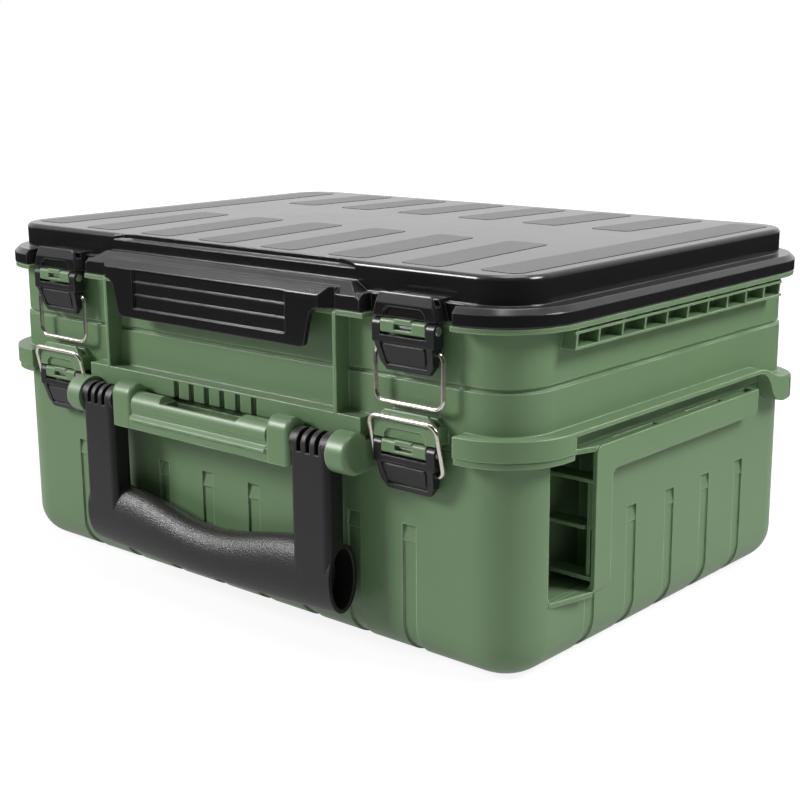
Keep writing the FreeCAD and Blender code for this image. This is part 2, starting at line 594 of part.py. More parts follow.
def handle_bracket():
    """The front bracket: a bar with a scoop and a finger trough, two domes and two lugs."""
    wall, face = -WALL_Y, HANDLE_PIN_Y - BAR_R
    clear_y, low = -FLANGE_Y - HANDLE_SIDE_GAP, bracket_low()
    band_top = BAR_FOOT_Z + BAR_BAND
    bar = [rod(-BAR_HALF, BAR_HALF, HANDLE_PIN_Y, HANDLE_PIN_Z, BAR_R),
           box(-BAR_HALF - BLEND, BAR_HALF + BLEND, face, wall, BAR_FOOT_Z, band_top),
           box(-BAR_HALF - BLEND, BAR_HALF + BLEND, face + 1, wall, BAR_FOOT_Z, HANDLE_PIN_Z),
           side_prism([(face + BAR_LIP_RUN, band_top + BAR_LIP_RUN), (face - BAR_LIP, band_top - BAR_LIP),
                       (face - BAR_LIP, band_top - 2 * BAR_LIP), (face + BAR_LIP_RUN, band_top - BAR_LIP_RUN)],
                      -BAR_HALF, BAR_HALF)]
    scoop_half, scoop_z = BAR_SCOOP_HALF, HANDLE_PIN_Z + BAR_R - BAR_SCOOP_DEPTH
    top_half, top_z = scoop_half + BAR_SCOOP_SLOPE, HANDLE_PIN_Z + BAR_R
    scoop = front_prism([(-scoop_half, scoop_z), (scoop_half, scoop_z), (top_half, top_z),
                         (-top_half, top_z)], face, wall)
    trough = box(-TROUGH_HALF, TROUGH_HALF, clear_y, wall - WALL, TROUGH_FLOOR_Z, BASE_TOP)
    well_half = scoop_half - BLEND / 2
    well = box(-well_half, well_half, face + TROUGH_WALL, wall - WALL, TROUGH_FLOOR_Z, top_z)
    keep_off = box(-LUG_OUT, LUG_OUT, clear_y, wall, low, low + LUG_R)
    strap_end = ARM_OUT + HANDLE_SIDE_GAP + BLEND
    strap = box(-strap_end, strap_end, wall - WALL, wall, BAR_FOOT_Z, HANDLE_PIN_Z)
    lugs = both_sides(bracket_lug().cut(keep_off))
    middle = joined(bar + both_sides(bracket_dome())).cut([scoop, trough, well, keep_off])
    return joined([middle, strap] + lugs).cut(both_sides(handle_pin()))


def handle_pin_bite():
    """How far a handle pin reaches into the dome beside its arm."""
    return 4 * HANDLE_PIN_R


def handle_pin():
    return rod(ARM_IN - handle_pin_bite(), LUG_OUT - WALL, HANDLE_PIN_Y, HANDLE_PIN_Z, HANDLE_PIN_R)


def oval_face(x, half_y, half_z):
    """An upright oval about the grip's middle, facing along X."""
    y = -WALL_Y - (GRIP_FRONT_OUT + GRIP_BACK_OUT) / 2
    oval = Part.Ellipse(V(x, y, GRIP_CENTRE_Z + half_z), V(x, y + half_y, GRIP_CENTRE_Z),
                        V(x, y, GRIP_CENTRE_Z)).toShape()
    return Part.Face(Part.Wire([oval]))


def grip_oval(x):
    """The grip's outline at x: bowed overall, and hollowed on top between the arms."""
    share = min(abs(x) / ARM_IN, 1)
    hollow = GRIP_HOLLOW * (1 + math.cos(math.pi * share)) / 2
    face = oval_face(x, (GRIP_FRONT_OUT - GRIP_BACK_OUT) / 2, GRIP_HALF_Z - hollow / 2)
    face.translate(V(0, 0, GRIP_SAG * (x / ARM_OUT) ** 2 - hollow / 2))
    return face.OuterWire


def grip():
    """The grip: one smooth skin over its ovals, cut square at the arms' outer faces."""
    right = [ARM_IN * i / GRIP_STATIONS for i in range(1, GRIP_STATIONS + 1)]
    right += [(ARM_IN + ARM_OUT) / 2, ARM_OUT]
    places = [-x for x in reversed(right)] + [0] + right
    return Part.makeLoft([grip_oval(x) for x in places], True)


def handle_arm():
    """The right arm: a knuckle with slots on a flat rounded strap."""
    front, back = HANDLE_PIN_Y - ARM_FRONT, HANDLE_PIN_Y + ARM_BACK
    strap = box(ARM_IN, ARM_OUT, front, back, GRIP_CENTRE_Z, HANDLE_PIN_Z)
    strap = strap.makeFillet(ARM_ROUND, upright_edges(strap))
    knuckle = rod(ARM_IN, ARM_OUT, HANDLE_PIN_Y, HANDLE_PIN_Z, KNUCKLE_R)
    middle = (ARM_IN + ARM_OUT) / 2
    slots = []
    for x in spread(KNUCKLE_SLOTS, 2 * KNUCKLE_SLOT):
        cut = box(middle + x - KNUCKLE_SLOT / 2, middle + x + KNUCKLE_SLOT / 2,
                  HANDLE_PIN_Y - KNUCKLE_R, HANDLE_PIN_Y + KNUCKLE_R / 3,
                  HANDLE_PIN_Z - KNUCKLE_R / 2, HANDLE_PIN_Z + KNUCKLE_R)
        slots.append(cut.cut(rod(0, CASE_WIDTH, HANDLE_PIN_Y, HANDLE_PIN_Z, HANDLE_PIN_R + BLEND)))
    return joined([strap, knuckle]).cut(slots)


def end_hollow():
    """The open oval pocket in the grip's right end."""
    half_y = (GRIP_FRONT_OUT - GRIP_BACK_OUT) / 2 - GRIP_WALL
    face = oval_face(ARM_OUT - GRIP_END_DEPTH, half_y, GRIP_HALF_Z - GRIP_WALL)
    hollow = face.extrude(V(GRIP_END_DEPTH + BLEND, 0, 0))
    hollow.translate(V(0, 0, GRIP_SAG))
    return hollow


def handle():
    whole = joined([grip()] + both_sides(handle_arm()))
    bore = rod(ARM_IN, ARM_OUT, HANDLE_PIN_Y, HANDLE_PIN_Z, HANDLE_PIN_R + RUN_FIT)
    return whole.cut(both_sides(end_hollow()) + both_sides(bore))


# ---- tray box -------------------------------------------------------------------------------------
def tray_body():
    """The tray's outside: a proud lower wall, a groove, and the upper wall."""
    step_z = TRAY_Z + STEP_HEIGHT
    levels = [(0, TRAY_Z, step_z), (WALL_STEP + GROOVE_DEPTH, step_z, step_z + GROOVE_HEIGHT),
              (WALL_STEP, step_z + GROOVE_HEIGHT, TRAY_TOP)]
    return joined([slab(WALL_X - d, WALL_Y - d, WALL_CORNER - d, z0, z1) for d, z0, z1 in levels])


def tray_flange():
    """The flange at the tray's foot: full in front, a thin ledge above the racks."""
    flange = slab(FLANGE_X, FLANGE_Y, FLANGE_CORNER, TRAY_Z, MID_FLANGE_TOP)
    far = FLANGE_X + FLANGE_Y
    rear = box(-far, far, NECK_START, far, 0, LID_TOP)
    rack_side = box(WALL_X, far, SHELF_FRONT, far, 0, MID_FLANGE_TOP - SIDE_LEDGE_THICK)
    comb_half = (COMB_TEETH - 1) * COMB_PITCH / 2 + COMB_TOOTH / 2
    comb_bed = box(-comb_half, comb_half, -far, -FLANGE_Y + COMB_DEPTH, 0,
                   MID_FLANGE_TOP - SIDE_LEDGE_THICK / 2)
    flange = flange.cut([rear, comb_bed] + both_sides(rack_side) + latch_gaps(0, LID_TOP))
    half = COMB_TOOTH / 2
    teeth = [box(x - half, x + half, -FLANGE_Y, -FLANGE_Y + COMB_DEPTH + BLEND, TRAY_Z,
                 MID_FLANGE_TOP) for x in spread(COMB_TEETH, COMB_PITCH)]
    return joined([flange] + teeth)


def neck_outline(x):
    """The neck's side outline at x: level ledge, smooth fall, level cap."""
    top, ledge = MID_FLANGE_TOP, MID_FLANGE_TOP - SIDE_LEDGE_THICK
    cap, dip = TRAY_Z + NECK_CAP_RISE, BASE_TOP - REAR_BAND_THICK
    cap_start, start = NECK_END - NECK_CAP, NECK_START - 2 * BLEND
    upper = s_curve(x, NECK_START, top, cap_start, cap)
    lower = s_curve(x, NECK_START, ledge, cap_start, dip)
    ends = Part.makePolygon([V(x, cap_start, cap), V(x, NECK_END, cap), V(x, NECK_END, dip),
                             V(x, cap_start, dip)]).Edges
    head = Part.makePolygon([V(x, NECK_START, ledge), V(x, start, ledge), V(x, start, top),
                             V(x, NECK_START, top)]).Edges
    return upper + ends + lower + head


def tray_neck():
    """The right flange's swan neck, which dips to the foot of the base's rear band."""
    inner = WALL_X + HANDLE_SIDE_GAP
    outer = swept_face(neck_outline(inner), FLANGE_X - inner)
    outer = outer.makeFillet(NECK_ROUND, corner_edges(outer, NECK_END, TRAY_Z + NECK_CAP_RISE))
    outer = outer.common(slab(FLANGE_X, FLANGE_Y, FLANGE_CORNER, 0, LID_TOP))
    root = swept_face(neck_outline(WALL_X - BLEND), 2 * BLEND)
    return joined([outer, root.common(box(0, CASE_WIDTH, -CASE_DEPTH, CASE_DEPTH, TRAY_Z, LID_TOP))])


def tray_rim():
    inset = TRAY_RIM_INSET
    rim = slab(FLANGE_X - inset, FLANGE_Y - inset, LID_CORNER - inset, TRAY_TOP - TRAY_RIM_THICK,
               TRAY_TOP)
    return rim.cut(latch_gaps(0, LID_TOP, TRAY_RIM_REACH))


def front_ribs():
    half = FRONT_RIB_THICK / 2
    return both_sides(box(FRONT_RIB_X - half, FRONT_RIB_X + half, -FLANGE_Y, -WALL_Y + BLEND,
                          MID_FLANGE_TOP - BLEND, TRAY_TOP - TRAY_RIM_THICK / 2))


def tray_ladder():
    """The right ladder under the tray's rim: a row of small cells to hang rigs on."""
    low, high = TRAY_TOP - LADDER_DROP, TRAY_TOP - TRAY_RIM_THICK / 2
    x0, x1 = WALL_X - WALL_STEP - BLEND, WALL_X + LADDER_PROUD
    middle = low + LADDER_MIDDLE
    pitch = 2 * LADDER_HALF / LADDER_CELLS
    bars = [box(x0, x1, -LADDER_HALF, LADDER_HALF, low, low + LADDER_BAR),
            box(x1 - LADDER_BAR, x1, -LADDER_HALF, LADDER_HALF, middle, middle + LADDER_BAR)]
    half, lean = LADDER_RUNG / 2, LADDER_LEAN
    for number, y in enumerate(spread(LADDER_CELLS + 1, pitch)):
        y += 0 if abs(y) < LADDER_HALF - 1 else math.copysign(half + lean, -y)
        foot, knee, top = low + LADDER_BAR / 2, middle + LADDER_BAR / 2, high
        bars.append(side_prism([(y - half - lean, foot), (y + half - lean, foot), (y + half, knee),
                                (y - half, knee)], x0, x1))
        if number % 2 == 0:
            bars.append(box(x0, x1, y - half, y + half, knee, top))
    return joined(bars)


def keeper(pin_z, height, lean, cut):
    """The right catch above a lever pin: a lip, a channel for the wire, leaning sides or cut corners."""
    low = pin_z + KEEPER_ABOVE_PIN
    high = low + height
    wall, face = -WALL_Y + BLEND, -WALL_Y - KEEPER_PROUD
    lip = face + KEEPER_LIP
    block = side_prism([(wall, low), (face, low), (face, low + 0.55 * height),
                        (face + KEEPER_LIP / 2, high), (lip, high), (lip, high - HOOK_DEEP),
                        (lip + HOOK_WIDTH, high - HOOK_DEEP), (lip + HOOK_WIDTH, high - BLEND),
                        (wall, high - BLEND)], LATCH_X - KEEPER_HALF, LATCH_X + KEEPER_HALF)
    block = block.makeFillet(KEEPER_LIP / 5, corner_edges(block, face + KEEPER_LIP / 2, high)
                             + corner_edges(block, lip, high))
    x = KEEPER_HALF
    outline = [(-x, low), (x, low), (x - lean, high - cut), (x - lean - cut, high),
               (lean + cut - x, high), (lean - x, high - cut)]
    shape = front_prism([(LATCH_X + px, pz) for px, pz in outline], face - BLEND, wall)
    half, slope = ARCH_HALF, ARCH_HEIGHT / 2
    recess = front_prism([(LATCH_X - half, low), (LATCH_X + half, low),
                          (LATCH_X + half, low + slope), (LATCH_X + half - slope, low + ARCH_HEIGHT),
                          (LATCH_X - half + slope, low + ARCH_HEIGHT), (LATCH_X - half, low + slope)],
                         face, face + ARCH_DEPTH)
    return block.common(shape).cut(recess)


def divider_guides():
    """Paired ribs on the tray's front and rear walls that hold the cross dividers upright."""
    gap = DIVIDER / 2 + DIVIDER_FIT / 2
    low, high = TRAY_Z + TRAY_FLOOR - BLEND, TRAY_Z + TRAY_FLOOR + DIVIDER_HEIGHT
    guides = []
    for x in spread(CROSS_DIVIDERS, DIVIDER_PITCH):
        for side in (x - gap - GUIDE, x + gap):
            guides.append(box(side, side + GUIDE, -TRAY_IN_Y - BLEND, -TRAY_IN_Y + GUIDE, low, high))
            guides.append(box(side, side + GUIDE, TRAY_IN_Y - GUIDE, TRAY_IN_Y + BLEND, low, high))
    return guides


def tray():
    cavity = slab(TRAY_IN_X, TRAY_IN_Y, WALL_CORNER - WALL_STEP - WALL, TRAY_Z + TRAY_FLOOR,
                  TRAY_TOP + BLEND)
    outside = [tray_body(), tray_flange(), tray_rim()] + both_sides(keeper(LOWER_PIN_Z, KEEPER_HEIGHT, 0, KEEPER_CUT))
    outside += both_sides(tray_neck()) + front_ribs() + both_sides(tray_ladder())
    outside += both_sides(latch_barrel(UPPER_PIN_Z, TRAY_TOP))
    for x in (-HINGE_X, HINGE_X):
        outside += hinge_knuckles(x, LID_HINGE_Z, True, TRAY_TOP - HINGE_ARM, TRAY_TOP, WALL_Y - BLEND)
        outside += hinge_knuckles(x, BASE_HINGE_Z, False, TRAY_Z, TRAY_Z + HINGE_ARM, WALL_Y - BLEND)
    shell = joined(outside).cut(cavity)
    shell = joined([shell] + divider_guides())
    bores = hinge_bores(LID_HINGE_Z, HINGE_PIN_R) + hinge_bores(BASE_HINGE_Z, HINGE_PIN_R + RUN_FIT)
    return shell.cut(bores)


def divider_places():
    floor = TRAY_Z + TRAY_FLOOR + PARTING_GAP
    return floor, floor + DIVIDER_HEIGHT, floor + DIVIDER_HEIGHT / 2


def long_divider():
    """Lengthwise divider, slotted from below to drop over the cross dividers."""
    low, high, middle = divider_places()
    half = DIVIDER / 2
    plate = box(-TRAY_IN_X + DIVIDER_FIT, TRAY_IN_X - DIVIDER_FIT, -half, half, low, high)
    gap = half + DIVIDER_FIT / 2
    notches = [box(x - gap, x + gap, -half, half, low, middle + DIVIDER_FIT)
               for x in spread(CROSS_DIVIDERS, DIVIDER_PITCH)]
    return plate.cut(notches)


def cross_divider(x):
    """A front-to-back divider, slotted from above for the lengthwise one."""
    low, high, middle = divider_places()
    half = DIVIDER / 2
    gap = half + DIVIDER_FIT / 2
    plate = box(x - half, x + half, -TRAY_IN_Y + DIVIDER_FIT, TRAY_IN_Y - DIVIDER_FIT, low, high)
    return plate.cut(box(x - half, x + half, -gap, gap, middle, high))


# ---- lid --------------------------------------------------------------------------------------------
def lid_flange():
    flange = slab(FLANGE_X, FLANGE_Y, LID_CORNER, LID_Z, LID_FLANGE_TOP)
    flange = flange.makeChamfer(LID_BEVEL, edges_at_height(flange, LID_FLANGE_TOP))
    return flange.cut(latch_gaps(0, LID_TOP))


def lid_crown():
    crown = slab(CROWN_X, CROWN_Y, CROWN_CORNER, LID_FLANGE_TOP - BLEND, LID_TOP)
    crown = crown.makeFillet(CROWN_ROUND, edges_at_height(crown, LID_TOP))
    return crown.cut(lid_scoop(0))


def lid_scoop(skin):
    """The shallow step along the crown's front edge, grown by a skin."""
    front, back = -CROWN_Y - BLEND, -CROWN_Y + SCOOP_DEPTH + skin
    floor = LID_TOP - SCOOP_HEIGHT - skin
    edge = -CROWN_Y + SCOOP_DEPTH / 2
    step = side_prism([(front, LID_TOP), (back, LID_TOP), (back, floor), (edge, floor),
                       (front, floor - SCOOP_FALL)], -SCOOP_HALF - skin, SCOOP_HALF + skin)
    half, run_out = SCOOP_HALF + skin, SCOOP_BLEND
    plan = plan_prism([(-half, front), (half, front), (half - run_out, back), (run_out - half, back)],
                      floor - SCOOP_FALL, LID_TOP)
    return step.common(plan)


def lid_shoulder():
    """The raised band behind the tab, between the latches."""
    foot = LATCH_X - LATCH_GAP / 2
    band = side_prism([(-FLANGE_Y, LID_Z), (-FLANGE_Y, LID_FLANGE_TOP - LID_BEVEL / 2),
                       (-FLANGE_Y + SHOULDER_RUN, LID_FLANGE_TOP + SHOULDER_RISE),
                       (-CROWN_Y + BLEND, LID_FLANGE_TOP + SHOULDER_RISE), (-CROWN_Y + BLEND, LID_Z)],
                      -foot, foot)
    top = foot - LID_HEIGHT / 2
    trim = front_prism([(-foot, LID_Z), (foot, LID_Z), (foot, LID_FLANGE_TOP - LID_BEVEL),
                        (top, LID_FLANGE_TOP + SHOULDER_RISE),
                        (-top, LID_FLANGE_TOP + SHOULDER_RISE), (-foot, LID_FLANGE_TOP - LID_BEVEL)],
                       -FLANGE_Y, -CROWN_Y + BLEND)
    return band.common(trim)


def tab_hang(y0, y1):
    """The part of the tab below the flange: tapered sides that flare out at the top."""
    low, high, r = LID_Z - TAB_DROP, LID_Z, TAB_FLARE_R
    taper = (TAB_TOP_HALF - TAB_FOOT_HALF) / (TAB_DROP + LID_FLANGE_HEIGHT)
    top_half = TAB_FOOT_HALF + taper * TAB_DROP
    body = front_prism([(-TAB_FOOT_HALF, low), (TAB_FOOT_HALF, low), (top_half, high + BLEND),
                        (-top_half, high + BLEND)], y0, y1)
    body = body.makeFillet(TAB_CORNER, [e for e in crosswise_edges(body) if e.BoundBox.ZMax < LID_Z])
    side = top_half - taper * r
    flare = box(side - BLEND, side + r, y0, y1, high - r, high + BLEND / 2)
    hollow = Part.makeCylinder(r, y1 - y0, V(side + r, y0, high - r), V(0, 1, 0))
    return [body] + both_sides(flare.cut(hollow)), side + r


def lid_tab():
    """The front tab: a bordered panel with fine lines, hanging over the tray's rim."""
    low, high = LID_Z - TAB_DROP, LID_FLANGE_TOP
    face, back = -FLANGE_Y - TAB_PROUD, -FLANGE_Y - TAB_PROUD + TAB_THICK
    brow = high - TAB_PROUD / 2
    far = FLANGE_X
    profile = side_prism([(face, low), (face, brow), (back, high + TAB_PROUD / 2),
                          (-CROWN_Y, high + TAB_PROUD / 2), (-CROWN_Y, LID_Z), (back, LID_Z), (back, low)],
                         -far, far)
    hang, end = tab_hang(face, back)
    foot = end + TAB_END_RUN
    upper = plan_prism([(-end, face), (end, face), (foot, -FLANGE_Y), (foot, -CROWN_Y), (-foot, -CROWN_Y),
                        (-foot, -FLANGE_Y)], LID_Z, LID_TOP)
    tab = profile.common(joined([upper] + hang))
    bottom = low + TAB_SILL
    step = (brow - bottom) / TAB_STEPS
    deep = face + TAB_THICK / 2
    half = TAB_TOP_HALF - TAB_FRAME
    panel = box(-half, half, face, deep, bottom, brow)
    panel = panel.makeFillet(TAB_CORNER / 2, [e for e in crosswise_edges(panel)
                                              if e.BoundBox.ZMax < bottom + 1])
    beads = [box(-half, half, deep - TAB_BEAD, deep, bottom + step * n, bottom + step * n + TAB_BEAD)
             for n in range(1, TAB_STEPS)]
    return tab.cut(panel.cut(beads))


def pad_outlines():
    """Plan outlines of the grip pads on the lid: two rows, and a long one at each end."""
    half = PAD_WIDTH / 2
    outlines = []
    for y0, y1, lean in PAD_ROWS:
        for x in spread(PAD_COUNT, PAD_PITCH):
            outlines.append([(x - half - lean / 2, y0), (x + half - lean / 2, y0),
                             (x + half + lean / 2, y1), (x - half + lean / 2, y1)])
    half = SIDE_PAD_WIDTH / 2
    for x in (-SIDE_PAD_X, SIDE_PAD_X):
        outlines.append([(x - half, -SIDE_PAD_HALF), (x + half, -SIDE_PAD_HALF),
                         (x + half, SIDE_PAD_HALF), (x - half, SIDE_PAD_HALF)])
    return outlines


def pad_block(outline, grow, z0, z1):
    """A pad's outline as a block with rounded corners, grown all round."""
    centre_x = sum(x for x, y in outline) / len(outline)
    centre_y = sum(y for x, y in outline) / len(outline)
    moved = [(x + math.copysign(grow, x - centre_x), y + math.copysign(grow, y - centre_y))
             for x, y in outline]
    block = plan_prism(moved, z0, z1)
    return block.makeFillet(PAD_ROUND + grow, upright_edges(block))


def lid_shell():
    solid = [lid_flange(), lid_crown(), lid_shoulder(), lid_tab()] + both_sides(
        keeper(UPPER_PIN_Z, LID_KEEPER_HEIGHT, KEEPER_LEAN, BLEND / 2))
    wall_ring = slab(WALL_X, WALL_Y, WALL_CORNER, LID_Z, LID_FLANGE_TOP)
    inside = slab(CROWN_X - LID_WALL, CROWN_Y - LID_WALL, CROWN_CORNER - LID_WALL, LID_Z - BLEND,
                  LID_TOP - LID_WALL)
    inside = inside.cut(lid_scoop(LID_WALL))
    groove_wall = LID_GROOVE_WALL
    groove = slab(FLANGE_X - groove_wall, FLANGE_Y - groove_wall, LID_CORNER - groove_wall, LID_Z,
                  LID_FLANGE_TOP - LID_WALL)
    half = LATCH_GAP / 2 + groove_wall
    plugs = both_sides(box(LATCH_X - half, LATCH_X + half, -FLANGE_Y, -WALL_Y, LID_Z, LID_TOP))
    groove = groove.cut([wall_ring] + plugs)
    leaves = []
    for x in (-HINGE_X, HINGE_X):
        leaves += hinge_knuckles(x, LID_HINGE_Z, False, LID_Z, LID_Z + HINGE_ARM,
                                 FLANGE_Y - groove_wall)
    sinks = [pad_block(o, PAD_FIT, LID_TOP - PAD_SINK, LID_TOP) for o in pad_outlines()]
    whole = joined(solid + [wall_ring]).cut([inside, groove] + sinks)
    whole = joined([whole] + leaves)
    return whole.cut(hinge_bores(LID_HINGE_Z, HINGE_PIN_R + RUN_FIT))


def lid_pads():
    floor = LID_TOP - PAD_SINK
    return Part.makeCompound([pad_block(o, 0, floor, floor + PAD_THICK) for o in pad_outlines()])


# ---- latches ----------------------------------------------------------------------------------------
def lever_plan(halves, y0, y1, pin_z):
    """A face symmetric about the right latch: (half width, drop below the pin) from the top down."""
    right = [(LATCH_X + half, pin_z - drop) for half, drop in halves]
    left = [(LATCH_X - half, pin_z - drop) for half, drop in reversed(halves)]
    return front_prism(right + left, y0, y1)


def lever_layer(skin, depth, pin_z):
    """A layer as thick as depth, a skin behind the lever's face: upright at the ears, then leaning."""
    front = PIN_Y - EAR_R + skin
    knee, foot = pin_z - LEVER_EAR_DROP, pin_z - LEVER_LENGTH
    return side_prism([(front, pin_z + EAR_R), (front, knee), (front + LEVER_LEAN, foot),
                       (front + LEVER_LEAN + depth, foot), (front + depth, knee),
                       (front + depth, pin_z + EAR_R)], LATCH_X - LEVER_HALF, LATCH_X + LEVER_HALF)


def latch_lever(pin_z):
    """The right lever: two ears on the pin, a tapered leaning face with a raised panel, two cheeks."""
    front, back = PIN_Y - EAR_R, PIN_Y + LEVER_DEEP - EAR_R
    foot, knee = pin_z - LEVER_LENGTH, pin_z - BAIL_PIVOT_DROP - 1
    x = LEVER_HALF
    side = side_prism([(front, pin_z), (front, pin_z - LEVER_EAR_DROP), (front + LEVER_LEAN, foot),
                       (front + LEVER_LEAN + LEVER_PLATE, foot), (back, knee), (back, pin_z - EAR_R),
                       (PIN_Y + EAR_R, pin_z)], LATCH_X - x, LATCH_X + x)
    body = joined([side, rod(LATCH_X - x, LATCH_X + x, PIN_Y, pin_z, EAR_R)])
    outline = [(x, -EAR_R), (x, LEVER_EAR_DROP), (LEVER_SHOULDER_HALF, LEVER_EAR_DROP + 1),
               (LEVER_TIP_HALF, LEVER_LENGTH - LEVER_TIP_CHAMFER), (LEVER_FOOT_HALF, LEVER_LENGTH)]
    body = body.common(lever_plan(outline, front, back + BLEND, pin_z))
    gap = BARREL_HALF + BARREL_SIDE_GAP
    window = box(LATCH_X - gap, LATCH_X + gap, front - BLEND, back + BLEND,
                 pin_z - EAR_R - 2 * BARREL_SIDE_GAP, pin_z + EAR_R)
    low = LEVER_LENGTH - LEVER_PLATE
    hollow = lever_plan([(gap, EAR_R), (lever_hollow_half(low), low)], front, back + LEVER_LEAN, pin_z)
    hollow = hollow.common(lever_layer(LEVER_PLATE, LEVER_DEEP, pin_z))
    face = lever_layer(0, DISH_DEPTH, pin_z)
    dish = lever_plan([(DISH_TOP_HALF, DISH_HIGH), (DISH_FOOT_HALF, DISH_LOW)], front, back, pin_z)
    dish = dish.makeFillet(DISH_BORDER, crosswise_edges(dish))
    border = DISH_BORDER
    panel = lever_plan([(DISH_TOP_HALF - border, DISH_HIGH + border),
                        (DISH_FOOT_HALF - border + 0.4, DISH_LOW - border)], front, back, pin_z)
    panel = panel.makeFillet(border * 0.75, crosswise_edges(panel))
    bores = [rod(LATCH_X - x, LATCH_X + x, PIN_Y, pin_z, PIN_R + RUN_FIT),
             rod(LATCH_X - x, LATCH_X + x, PIN_Y + BAIL_PIVOT_IN, pin_z - BAIL_PIVOT_DROP,
                 BAIL_R + RUN_FIT)]
    return body.cut([window, hollow, dish.cut(panel).common(face)] + bores)


def lever_hollow_half(drop):
    """Half width of the hollow behind the lever's face, so far below the pin."""
    top = BARREL_HALF + BARREL_SIDE_GAP
    foot = LEVER_TIP_HALF - LEVER_CHEEK
    return top + (foot - top) * (drop - EAR_R) / (LEVER_LENGTH - LEVER_PLATE - EAR_R)


def latch_pin(pin_z):
    return rod(LATCH_X - LEVER_HALF, LATCH_X + LEVER_HALF, PIN_Y, pin_z, PIN_R)


def bail_path():
    """Half of the wire's centre line, hanging from its pivot at the origin: lines and arcs."""
    eye, bend = BAIL_EYE_BEND, BAIL_BEND
    stub = lever_hollow_half(BAIL_PIVOT_DROP - BAIL_R) + PARTING_GAP
    diagonal = math.sqrt(0.5)
    upper_mid = V(BAIL_HALF - eye + eye * diagonal, 0, -eye + eye * diagonal)
    lower_mid = V(BAIL_HALF - bend + bend * diagonal, 0, -BAIL_LENGTH + bend - bend * diagonal)
    start, eye_in = V(stub, 0, 0), V(BAIL_HALF - eye, 0, 0)
    eye_out, leg_end = V(BAIL_HALF, 0, -eye), V(BAIL_HALF, 0, -BAIL_LENGTH + bend)
    cross = V(BAIL_HALF - bend, 0, -BAIL_LENGTH)
    return [Part.LineSegment(start, eye_in).toShape(), Part.Arc(eye_in, upper_mid, eye_out).toShape(),
            Part.LineSegment(eye_out, leg_end).toShape(), Part.Arc(leg_end, lower_mid, cross).toShape(),
            Part.LineSegment(cross, V(0, 0, -BAIL_LENGTH)).toShape()]


def latch_bail(pin_z, swing):
    """The right wire bail, swung out and up from hanging by an angle in degrees."""
    path = Part.Wire(bail_path())
    start = path.Edges[0].Vertexes[0].Point
    section = Part.Wire([Part.makeCircle(BAIL_R, start, V(1, 0, 0))])
    half = path.makePipeShell([section], True, True)
    wire = joined([half, half.mirror(V(0, 0, 0), V(1, 0, 0))])
    wire.rotate(V(0, 0, 0), V(1, 0, 0), -swing)
    wire.translate(V(LATCH_X, PIN_Y + BAIL_PIVOT_IN, pin_z - BAIL_PIVOT_DROP))
    return wire


# ---- all nodes ----------------------------------------------------------------------------------------
def hinge_pins(z):
    reach = KNUCKLE_MID / 2 + KNUCKLE_GAP + KNUCKLE_END
    return rod(HINGE_X - reach, HINGE_X + reach, HINGE_Y, z, HINGE_PIN_R)


def all_nodes():
    nodes = {"base_box": base_box(), "handle_bracket": handle_bracket(), "handle": handle(),
             "tray_box": tray(), "long_divider": long_divider(), "lid_shell": lid_shell(),
             "lid_pads": lid_pads()}
    for name, x in zip(("left", "middle", "right"), spread(CROSS_DIVIDERS, DIVIDER_PITCH)):
        nodes["cross_divider_" + name] = cross_divider(x)
    pairs = {"handle_pin": handle_pin(), "tray_hinge_pin": hinge_pins(BASE_HINGE_Z),
             "lid_hinge_pin": hinge_pins(LID_HINGE_Z)}
    for level, pin_z, swing in (("lower", LOWER_PIN_Z, 180 - BAIL_LEAN), ("upper", UPPER_PIN_Z, 0)):
        pairs[level + "_lever"] = latch_lever(pin_z)
        pairs[level + "_bail"] = latch_bail(pin_z, swing)
        pairs[level + "_latch_pin"] = latch_pin(pin_z)
    pairs["side_rack"] = side_rack()
    for name, shape in pairs.items():
        nodes[name + "_right"], nodes[name + "_left"] = both_sides(shape)
    return nodes


os.makedirs("parts", exist_ok=True)
for node_name, node_shape in all_nodes().items():
    placed = node_shape.removeSplitter()
    placed.translate(V(0, CASE_SHIFT, 0))
    placed.exportStep("parts/" + node_name + ".step")
    print(node_name, len(placed.Solids), placed.isValid(), round(placed.Volume / 1000, 2))
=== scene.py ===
# %% [markdown]
# # A two-tier tackle box
# The box is a deep green tub, a green tray that stands on it, a black lid, four draw latches with
# wire bails, and a black carrying handle. The solids come ready made from the CAD frame, so this
# lesson is about what turns them into a picture: a camera, soft studio light, plastic and metal
# that look moulded and plated, and the small metal pieces that the solids leave out.

import math

import bpy
from mathutils import Matrix, Vector


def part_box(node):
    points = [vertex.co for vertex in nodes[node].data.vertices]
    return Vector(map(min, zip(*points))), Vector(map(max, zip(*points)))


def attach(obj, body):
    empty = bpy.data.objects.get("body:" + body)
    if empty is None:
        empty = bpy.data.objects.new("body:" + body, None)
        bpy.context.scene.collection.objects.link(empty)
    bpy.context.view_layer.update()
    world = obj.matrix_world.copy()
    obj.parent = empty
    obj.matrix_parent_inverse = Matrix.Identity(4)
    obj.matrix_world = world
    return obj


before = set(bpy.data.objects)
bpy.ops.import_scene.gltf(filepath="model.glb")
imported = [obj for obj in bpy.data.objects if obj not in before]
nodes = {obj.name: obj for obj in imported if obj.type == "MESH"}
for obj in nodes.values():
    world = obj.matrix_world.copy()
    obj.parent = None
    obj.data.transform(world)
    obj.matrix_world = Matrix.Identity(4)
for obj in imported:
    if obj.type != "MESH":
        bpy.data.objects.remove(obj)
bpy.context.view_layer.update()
bpy.ops.object.select_all(action="DESELECT")

# %% [markdown]
# ## Camera
# A studio camera stands off the right front corner, a little above the lid. It could be aimed with
# a Track To constraint, but three turns are plainer: tilt it up from looking straight down, turn
# it about the vertical, then roll it by less than a degree.

